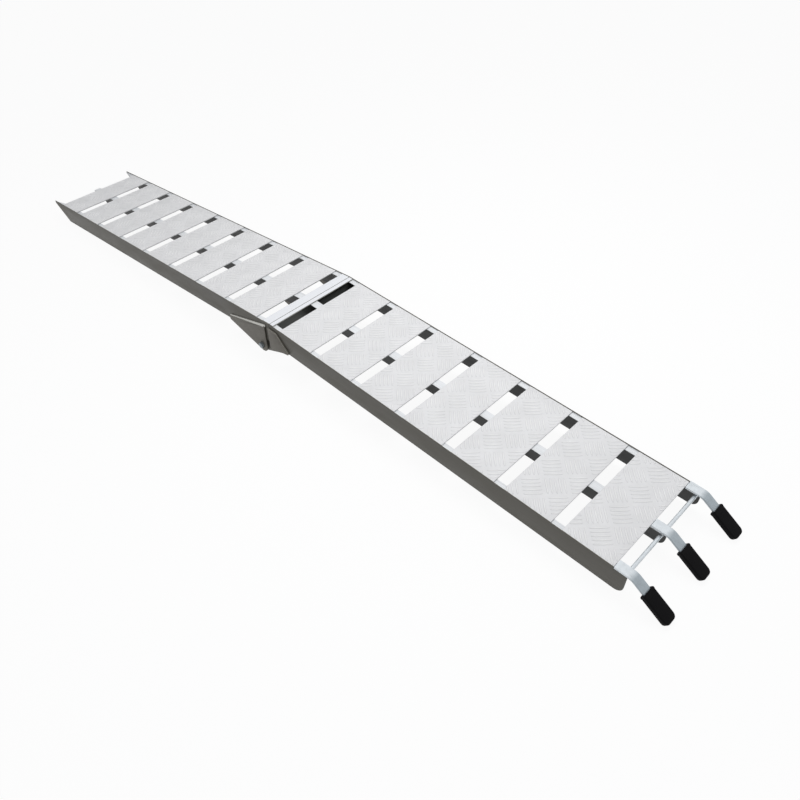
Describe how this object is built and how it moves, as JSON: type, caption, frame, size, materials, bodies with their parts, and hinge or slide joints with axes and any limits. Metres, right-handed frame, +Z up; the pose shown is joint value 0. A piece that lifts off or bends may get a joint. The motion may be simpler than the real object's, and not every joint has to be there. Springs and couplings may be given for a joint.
{
  "type": "folding loading ramp",
  "caption": "Folding aluminium loading ramp: two treaded sections on a hinge under three rails, with rubber-capped fingers at the upper end and slanted rail tips at the ground.",
  "frame": {"origin": "on the floor below the middle of the open ramp's box", "axes": "+X up the ramp towards the fingers, +Y to the left of someone walking up it, +Z up"},
  "size_m": [2.3002, 0.2972, 0.12],
  "materials": {
    "chequer_plate": "bright rolled five-bar chequer plate",
    "rail_aluminium": "mill-finish extrusion",
    "hinge_plate": "mill-finish plate, welded on",
    "zinc_steel": "bright zinc plate",
    "rubber": "matt moulded rubber"
  },
  "bodies": {
    "lower_section": {"lower_side_rail_right": "rail_aluminium", "lower_centre_rail": "rail_aluminium", "lower_side_rail_left": "rail_aluminium", "lower_cross_beam": "rail_aluminium", "lower_tread_1": "chequer_plate", "lower_tread_2": "chequer_plate", "lower_tread_3": "chequer_plate", "lower_tread_4": "chequer_plate", "lower_tread_5": "chequer_plate", "lower_tread_6": "chequer_plate", "lower_tread_7": "chequer_plate", "lower_tread_8": "chequer_plate", "lower_hinge_plate_right": "hinge_plate", "lower_hinge_plate_centre": "hinge_plate", "lower_hinge_plate_left": "hinge_plate", "pivot_spacer_right": "zinc_steel", "pivot_spacer_centre": "zinc_steel", "pivot_spacer_left": "zinc_steel", "pivot_nut_right": "zinc_steel", "pivot_nut_centre": "zinc_steel", "pivot_nut_left": "zinc_steel", "pivot_bolt_right": "zinc_steel", "pivot_bolt_centre": "zinc_steel", "pivot_bolt_left": "zinc_steel"},
    "upper_section": {"upper_side_rail_right": "rail_aluminium", "upper_centre_rail": "rail_aluminium", "upper_side_rail_left": "rail_aluminium", "upper_cross_beam": "rail_aluminium", "upper_tread_1": "chequer_plate", "upper_tread_2": "chequer_plate", "upper_tread_3": "chequer_plate", "upper_tread_4": "chequer_plate", "upper_tread_5": "chequer_plate", "upper_tread_6": "chequer_plate", "upper_tread_7": "chequer_plate", "upper_hinge_tongue_right": "hinge_plate", "upper_hinge_tongue_centre": "hinge_plate", "upper_hinge_tongue_left": "hinge_plate", "upper_hinge_heel_right": "hinge_plate", "upper_hinge_heel_left": "hinge_plate", "finger_strap_right": "zinc_steel", "finger_strap_centre": "zinc_steel", "finger_strap_left": "zinc_steel", "finger_cap_right": "rubber", "finger_cap_centre": "rubber", "finger_cap_left": "rubber", "tie_rod": "zinc_steel"}
  },
  "joints": [
    {"name": "fold", "type": "hinge", "parent": "lower_section", "child": "upper_section", "pos_m": [-0.00777, 0, 0.03756], "axis": [0, 1, 0], "range_deg": [0, 175]}
  ]
}
